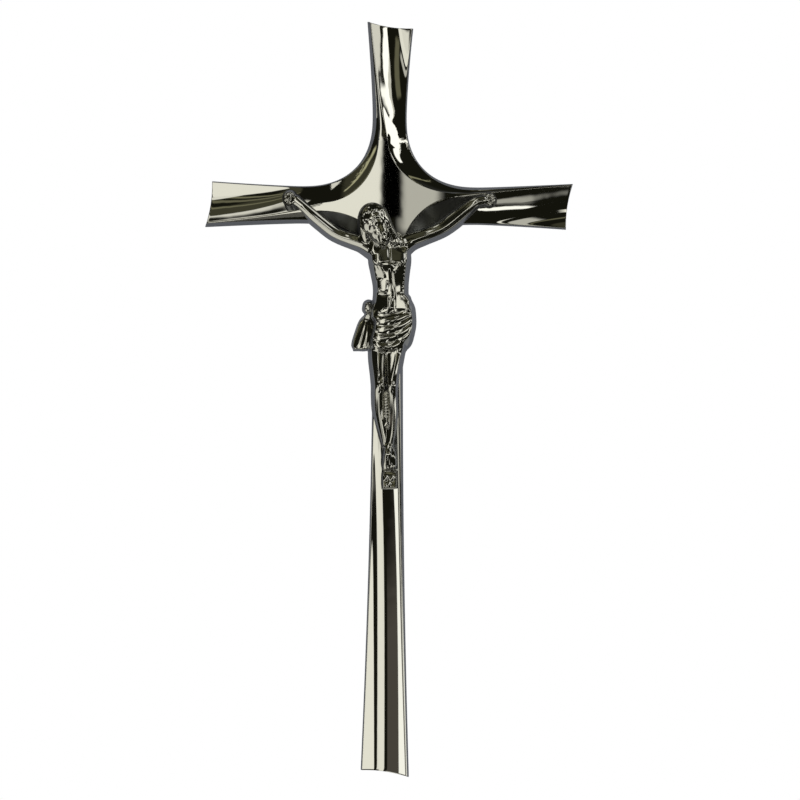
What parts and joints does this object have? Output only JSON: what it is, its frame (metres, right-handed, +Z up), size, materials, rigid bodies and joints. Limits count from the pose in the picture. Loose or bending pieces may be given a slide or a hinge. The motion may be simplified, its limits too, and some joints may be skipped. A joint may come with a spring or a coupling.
{
  "type": "wall crucifix",
  "caption": "Cast brass cross with flared, hollow-cut arms, a raised star at the crossing and a relief figure, flat at the back for fixing to a wall or stone.",
  "frame": {"origin": "on the flat back, where the middle lines of the four arms cross", "axes": "+Z up along the long arm, +X to the viewer's right, +Y into the wall; the front faces -Y"},
  "size_m": [0.195, 0.0244, 0.4006],
  "materials": {
    "plated_brass": "mirror-polished dark nickel plate on cast brass, with satin side walls"
  },
  "bodies": {
    "root": {"crucifix": "plated_brass"}
  },
  "joints": []
}
